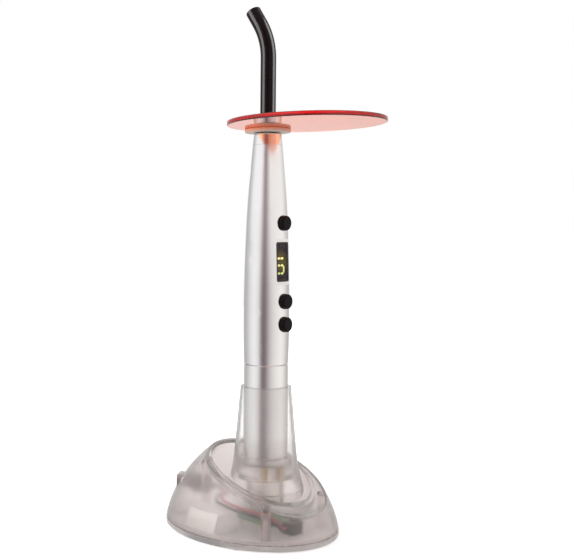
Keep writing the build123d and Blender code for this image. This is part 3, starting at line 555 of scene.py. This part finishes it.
def turned(rings, tip, steps):
    """A turned piece, drawn up from a disc through (radius, height) rings to a tip on its axis, in millimetres."""
    radius, height = rings[0]
    bpy.ops.object.select_all(action="DESELECT")
    bpy.ops.mesh.primitive_circle_add(vertices=steps, radius=radius * MM, fill_type="TRIFAN")
    bpy.ops.object.mode_set(mode="EDIT")
    bpy.ops.mesh.select_mode(type="VERT")
    bpy.ops.mesh.select_all(action="SELECT")
    for next_radius, next_height in rings[1:]:
        bpy.ops.mesh.extrude_region_move(TRANSFORM_OT_translate={"value": (0, 0, (next_height - height) * MM)})
        share = next_radius / radius
        bpy.ops.transform.resize(value=(share, share, 1), center_override=(0, 0, 0))
        radius, height = next_radius, next_height
    bpy.ops.mesh.extrude_region_move(TRANSFORM_OT_translate={"value": (0, 0, (tip - height) * MM)})
    bpy.ops.mesh.merge(type="CENTER")
    bpy.ops.mesh.select_all(action="SELECT")
    bpy.ops.mesh.normals_make_consistent(inside=False)
    bpy.ops.object.mode_set(mode="OBJECT")
    return bpy.context.active_object


# Digits behind the display's window

def segment(length):
    """One bar of a digit, lying along X, with its ends cut to points."""
    bar = block((length, DIGIT_STROKE, DIGIT_DEPTH))
    bpy.ops.object.mode_set(mode="EDIT")
    bpy.ops.mesh.select_mode(type="EDGE")
    bpy.ops.mesh.select_all(action="DESELECT")
    bpy.ops.object.mode_set(mode="OBJECT")
    for edge in bar.data.edges:
        ends = [bar.data.vertices[v].co for v in edge.vertices]
        edge.select = abs((ends[0] - ends[1]).z) > DIGIT_DEPTH * 0.9
    bpy.ops.object.mode_set(mode="EDIT")
    bpy.ops.mesh.bevel(offset=DIGIT_STROKE * SEGMENT_POINT, segments=1)
    bpy.ops.object.mode_set(mode="OBJECT")
    return bar


def two_figures():
    """The bars of a 1 and a 0 side by side about the origin, reading along +X."""
    half = DIGIT_WIDTH / 2 - DIGIT_STROKE / 2
    quarter = DIGIT_HEIGHT / 4 - DIGIT_STROKE / 4
    uprights = {1: ((half, quarter), (half, -quarter))}
    uprights[0] = (*uprights[1], (-half, quarter), (-half, -quarter))
    levels = {1: (), 0: ((0, 2 * quarter), (0, -2 * quarter))}
    quarter_turn = Matrix.Rotation(pi / 2, 4, "Z")
    upright_places, level_places = [], []
    for figure, side in ((1, -1), (0, 1)):
        middle = side * DIGIT_PITCH / 2
        upright_places += [Matrix.Translation((middle + x, y, 0)) @ quarter_turn for x, y in uprights[figure]]
        level_places += [Matrix.Translation((middle + x, y, 0)) for x, y in levels[figure]]
    bars = copied(segment(DIGIT_HEIGHT / 2 - DIGIT_STROKE / 2 - SEGMENT_GAP), upright_places)
    bars += copied(segment(DIGIT_WIDTH - DIGIT_STROKE - SEGMENT_GAP), level_places)
    return joined(bars, "display_digits")


def display_digits():
    """The figures 1 and 0, reading down the handle, in the gap between the window and the block behind it."""
    digits = two_figures()
    low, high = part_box("display_window")
    out = FRONT * cos(DISPLAY_LEAN) + UP * sin(DISPLAY_LEAN)
    down = FRONT * sin(DISPLAY_LEAN) - UP * cos(DISPLAY_LEAN)
    across = out.cross(down)
    behind = WINDOW_THICKNESS / 2 + DIGIT_DEPTH * 0.8
    middle = (low + high) / 2 - out * behind - across * DIGIT_SHIFT
    facing = Matrix((down, across, out)).transposed().to_4x4()
    digits.data.transform(Matrix.Translation(middle) @ facing)
    finish_in(digits, lit_digits(middle, across))
    finish_in(frame["nodes"]["display_module"], glowing_block(middle))
    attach(digits, "handpiece")


display_digits()


# Fine pieces inside the base, with places and sizes in millimetres from the base's middle

BOARD_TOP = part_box("charge_board")[1].z / MM
CHIPS = ((-12.5, -17.5, 6.0, 5.0), (3.0, -19.5, 8.0, 4.0), (-14.0, 5.5, 4.0, 6.0), (14.0, 5.0, 4.5, 7.0))
LEG_PITCH = 1.27
LEG_RADIUS = 0.1
LEG_ROUTE = ((-0.1, 0.75), (0.25, 0.75), (0.40, 0.62), (0.50, 0.22), (0.65, 0.10), (1.0, 0.10))
RESISTORS = ((10.5, -20.6), (13.6, -20.6), (9.2, -16.2), (-7.4, -20.9))
SOLDERED_PINS = ((-4.2, -21.6), (-1.8, -21.6), (12.2, -13.6), (15.0, -13.6))
SOLDER_RINGS = ((0.95, 0), (0.72, 0.10), (0.52, 0.28), (0.42, 0.50), (0.36, 0.72), (0.30, 1.0), (0.22, 1.1))
SOLDER_TIP = 1.12
SCREW_PLACES = ((-20.5, -24.5), (20.5, -24.5), (-21.5, 25.5), (21.5, 25.5))
SCREW_HEAD = ((2.3, 0), (2.6, 0.15), (2.7, 0.45), (2.7, 1.65), (2.6, 1.8), (1.05, 1.8))
THREAD_START = 2.1
THREAD_PITCH = 0.7
RECESS_LENGTH = 3.2
RECESS_WIDTH = 0.62


def dress(piece, finish):
    """A piece's finish and slot, on the base."""
    finish_in(piece, bpy.data.materials[finish])
    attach(piece, "base")
    return piece


def chip_leg():
    """One bent leg, out of a chip's side at the origin towards +Y, and down to the board."""
    wire = bpy.data.curves.new("leg", "CURVE")
    wire.dimensions = "3D"
    wire.bevel_depth = LEG_RADIUS * MM
    wire.bevel_resolution = 1
    wire.use_fill_caps = True
    line = wire.splines.new("POLY")
    line.points.add(len(LEG_ROUTE) - 1)
    for point, (out, up) in zip(line.points, LEG_ROUTE):
        point.co = (0, out * MM, up * MM, 1)
    leg = bpy.data.objects.new("leg", wire)
    bpy.context.scene.collection.objects.link(leg)
    select_only(leg)
    bpy.ops.object.convert(target="MESH")
    return bpy.context.active_object


def chip_legs():
    """Legs along both long sides of each chip."""
    places = []
    for x, y, width, length in CHIPS:
        long_sides, run, reach = (0, width, length / 2) if width >= length else (pi / 2, length, width / 2)
        count = int((run - 0.8) / LEG_PITCH) + 1
        for turn in (long_sides, long_sides + pi):
            facing = shift(x, y, BOARD_TOP) @ Matrix.Rotation(turn, 4, "Z")
            for number in range(count):
                places.append(facing @ shift((number - (count - 1) / 2) * LEG_PITCH, reach))
    return joined(copied(chip_leg(), places), "chip_legs")


def resistors():
    """Flat chip resistors: dark bodies, and tinned caps over their ends."""
    places = [shift(x, y, BOARD_TOP + 0.35) for x, y in RESISTORS]
    body = soft_block(1.5, 1.2, 0.5, 0.05)
    ends = joined(copied(soft_block(0.5, 1.3, 0.62, 0.1), (shift(-0.85, 0), shift(0.85, 0))), "ends")
    return joined(copied(body, places), "resistor_bodies"), joined(copied(ends, places), "resistor_caps")


def solder_joints():
    """Soldered pins that stand up through the board."""
    places = [shift(x, y, BOARD_TOP) for x, y in SOLDERED_PINS]
    return joined(copied(turned(SOLDER_RINGS, SOLDER_TIP, 20), places), "solder_joints")


def cross_head_screws():
    """The base's four screws, with cross recesses in their heads and threads up their shanks."""
    low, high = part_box("base_screws")
    tall = (high.z - low.z) / MM
    rings = list(SCREW_HEAD)
    height = THREAD_START
    while height < tall - 1.2:
        rings += [(1.02, height), (1.02, height + 0.15), (1.24, height + 0.35), (1.24, height + 0.42)]
        height += THREAD_PITCH
    rings += [(1.0, tall - 0.9), (0.35, tall - 0.1)]
    screw = turned(rings, tall, 32)
    for across, along in ((RECESS_LENGTH, RECESS_WIDTH), (RECESS_WIDTH, RECESS_LENGTH)):
        cutter = soft_block(across, along, 2.0, 0.08)
        cut = screw.modifiers.new("recess", "BOOLEAN")
        cut.object = cutter
        cut.solver = "EXACT"
        select_only(screw)
        bpy.ops.object.modifier_apply(modifier=cut.name)
        bpy.data.objects.remove(cutter)
    return joined(copied(screw, [shift(x, y, low.z / MM) for x, y in SCREW_PLACES]), "cross_head_screws")


dress(chip_legs(), "bright plating")
resistor_bodies, resistor_caps = resistors()
dress(resistor_bodies, "connector plastic")
dress(resistor_caps, "bright plating")
dress(solder_joints(), "bright plating")
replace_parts(dress(cross_head_screws(), "bright plating"), "base_screws")


# Studio: a pale floor, white surroundings with a darker gap beside the camera, three soft lamps and two strips

# What polished pieces mirror near the floor and higher up, as the angle round from the camera in degrees,
# positive to the picture's left, with the level and the tint there
NEUTRAL = (1, 1, 1)
WARM = (1, 0.975, 0.95)
PLUM = (1.12, 0.94, 1)
LOWER_WALLS = (
    (-180, 0.95, WARM), (-162, 0.80, WARM), (-146, 0.50, WARM), (-126, 0.56, WARM), (-107, 0.78, WARM),
    (-91, 0.92, WARM), (-77, 0.97, WARM), (-53, 0.86, WARM), (-42, 0.80, WARM), (-31, 0.72, WARM),
    (-21, 0.61, WARM), (-11, 0.44, PLUM), (-1, 0.27, PLUM), (8, 0.175, PLUM), (20, 0.175, PLUM),
    (28, 0.34, PLUM), (40, 0.74, NEUTRAL), (51, 0.86, NEUTRAL), (63, 0.94, NEUTRAL), (75, 0.88, NEUTRAL),
    (88, 0.80, NEUTRAL), (103, 0.65, NEUTRAL), (121, 0.52, NEUTRAL), (148, 0.50, NEUTRAL),
    (164, 0.80, NEUTRAL), (180, 0.95, NEUTRAL),
)
UPPER_WALLS = (
    (-180, 0.95, WARM), (-162, 0.84, WARM), (-146, 0.64, WARM), (-120, 0.80, WARM), (-95, 0.94, WARM),
    (-60, 0.92, WARM), (-20, 0.90, WARM), (-9, 0.70, WARM), (0, 0.44, PLUM), (8, 0.31, PLUM),
    (16, 0.31, PLUM), (25, 0.56, PLUM), (36, 0.88, NEUTRAL), (50, 0.97, NEUTRAL), (90, 0.94, NEUTRAL),
    (112, 0.70, NEUTRAL), (135, 0.50, NEUTRAL), (150, 0.55, NEUTRAL), (164, 0.80, NEUTRAL),
    (180, 0.95, NEUTRAL),
)
OVERHEAD = (0.9, 0.9, 0.9)
WALLS_CHANGE = (-0.04, 0.10)  # how far up a ray goes where the lower walls give way to the upper ones
CEILING_CHANGE = (0.55, 0.9)


def view_direction(turn):
    """The way out from the object at an angle round from the camera, positive to the picture's left."""
    return -VIEW_AHEAD * cos(turn) - VIEW_RIGHT * sin(turn)


def ring_of_walls(tree, turn, stops):
    """What is to be seen all round the object at one height, from a turn between 0 and 1."""
    walls = tree.nodes.new("ShaderNodeValToRGB")
    places = walls.color_ramp.elements
    while len(places) < len(stops):
        places.new(0.5)
    for place, (angle, level, tint) in zip(places, stops):
        place.position = (angle + 180) / 360
        place.color = (*(level * part for part in tint), 1)
    tree.links.new(turn, walls.inputs["Fac"])
    return walls.outputs["Color"]


def surround():
    """The studio's walls: white to the camera and through clear plastic, uneven as polished pieces mirror them."""
    world = bpy.data.worlds.new("studio")
    bpy.context.scene.world = world
    world.use_nodes = True
    tree = world.node_tree
    tree.nodes.clear()
    way = tree.nodes.new("ShaderNodeTexCoord").outputs["Generated"]
    leftward, backward, upward = (
        against(tree, "DOT_PRODUCT", way, axis) for axis in (view_direction(radians(90)), view_direction(0), UP)
    )
    turn = map_between(tree, maths(tree, "ARCTAN2", leftward, backward), -pi, pi, 0, 1)
    risen = map_between(tree, upward, *WALLS_CHANGE, 0, 1)
    walls = mix_colours(tree, risen, ring_of_walls(tree, turn, LOWER_WALLS), ring_of_walls(tree, turn, UPPER_WALLS))
    mirrored = mix_colours(tree, map_between(tree, upward, *CEILING_CHANGE, 0, 1), walls, OVERHEAD)
    path = tree.nodes.new("ShaderNodeLightPath")
    seen = maths(tree, "MAXIMUM", path.outputs["Is Camera Ray"], path.outputs["Is Transmission Ray"])
    plain = map_between(tree, seen, 0, 1, FILL_LIGHT, 1)
    background = tree.nodes.new("ShaderNodeBackground")
    bounced = maths(tree, "MINIMUM", path.outputs["Glossy Depth"], 1)
    tree.links.new(mix_colours(tree, bounced, plain, mirrored), background.inputs["Color"])
    output = tree.nodes.new("ShaderNodeOutputWorld")
    tree.links.new(background.outputs[0], output.inputs["Surface"])


def softbox(name, turn, distance, low, width, tall, radiance, aim):
    """An upright rectangular lamp at an angle round from the camera, facing a height on the object."""
    lamp = bpy.data.lights.new(name, "AREA")
    lamp.shape = "RECTANGLE"
    lamp.size = width
    lamp.size_y = tall
    lamp.energy = radiance * pi * width * tall
    holder = bpy.data.objects.new(name, lamp)
    bpy.context.scene.collection.objects.link(holder)
    holder.location = view_direction(turn) * distance + UP * (low + tall / 2)
    holder.rotation_euler = (UP * aim - holder.location).to_track_quat("-Z", "Y").to_euler()
    holder.visible_glossy = False
    return holder


def strip_for_guide(name, turn, width, radiance):
    """A tall strip lamp that only the dark light guide mirrors, for the bright lines down its sides."""
    holder = softbox(
        name, turn, distance=0.80, low=0.20, width=width, tall=1.0, radiance=radiance, aim=0.45
    )
    holder.visible_glossy = True
    lit = bpy.data.collections.new(name)
    lit.objects.link(frame["nodes"]["guide_sheath"])
    holder.light_linking.receiver_collection = lit


def floor():
    """A round of pale floor, as white as the surroundings at its rim, that polished pieces don't mirror."""
    bpy.ops.object.select_all(action="DESELECT")
    bpy.ops.mesh.primitive_circle_add(vertices=128, radius=FLOOR_RADIUS, fill_type="NGON")
    ground = bpy.context.active_object
    ground.name = "floor"
    material, tree = new_material("pale floor")
    skin = put(
        tree, "ShaderNodeBsdfPrincipled", Base_Color=(0.80, 0.80, 0.80, 1), Roughness=0.9, Specular_IOR_Level=0,
        Emission_Color=(1, 1, 1, 1),
    )
    reach = against(tree, "DISTANCE", object_place(tree), (0, 0, 0))
    glow = map_between(tree, reach, FLOOR_GLOW_START, FLOOR_GLOW_REACH, FLOOR_GLOW, 1)
    path = tree.nodes.new("ShaderNodeLightPath")
    seen = maths(tree, "MAXIMUM", path.outputs["Is Camera Ray"], path.outputs["Is Transmission Ray"])
    tree.links.new(maths(tree, "MULTIPLY", glow, seen), skin.inputs["Emission Strength"])
    clear = tree.nodes.new("ShaderNodeBsdfTransparent")
    either = tree.nodes.new("ShaderNodeMixShader")
    tree.links.new(maths(tree, "MINIMUM", path.outputs["Glossy Depth"], 1), either.inputs["Fac"])
    tree.links.new(skin.outputs[0], either.inputs[1])
    tree.links.new(clear.outputs[0], either.inputs[2])
    show(tree, either.outputs[0])
    ground.data.materials.append(material)


def camera():
    """Level, at the height of the handle's buttons, with the frame shifted as the photograph's is."""
    data = bpy.data.cameras.new("camera")
    data.sensor_width = SENSOR_WIDTH
    data.lens = VIEW_LENS
    data.shift_x = AXIS_OFFSET / PHOTO_WIDTH
    data.shift_y = -HORIZON_RISE / PHOTO_WIDTH
    holder = bpy.data.objects.new("camera", data)
    bpy.context.scene.collection.objects.link(holder)
    level = Matrix.Rotation(VIEW_TURN, 4, "Z") @ Matrix.Rotation(pi / 2, 4, "X")
    holder.matrix_world = (
        Matrix.Translation(-VIEW_AHEAD * VIEW_DISTANCE + UP * VIEW_HEIGHT)
        @ level @ Matrix.Rotation(VIEW_ROLL, 4, "Z")
    )
    bpy.context.scene.camera = holder


surround()
floor()
camera()
softbox("left softbox", radians(72), distance=0.80, low=0.17, width=0.75, tall=0.85, radiance=2.2, aim=0.20)
softbox("right softbox", radians(-96), distance=0.90, low=0.17, width=0.85, tall=0.85, radiance=1.25, aim=0.20)
softbox("top softbox", radians(150), distance=0.35, low=0.80, width=0.80, tall=0.80, radiance=1.4, aim=0.15)
strip_for_guide("left strip", radians(74), width=0.60, radiance=14.0)
strip_for_guide("right strip", radians(-88), width=0.56, radiance=15.0)
bpy.context.scene.view_settings.view_transform = "Standard"
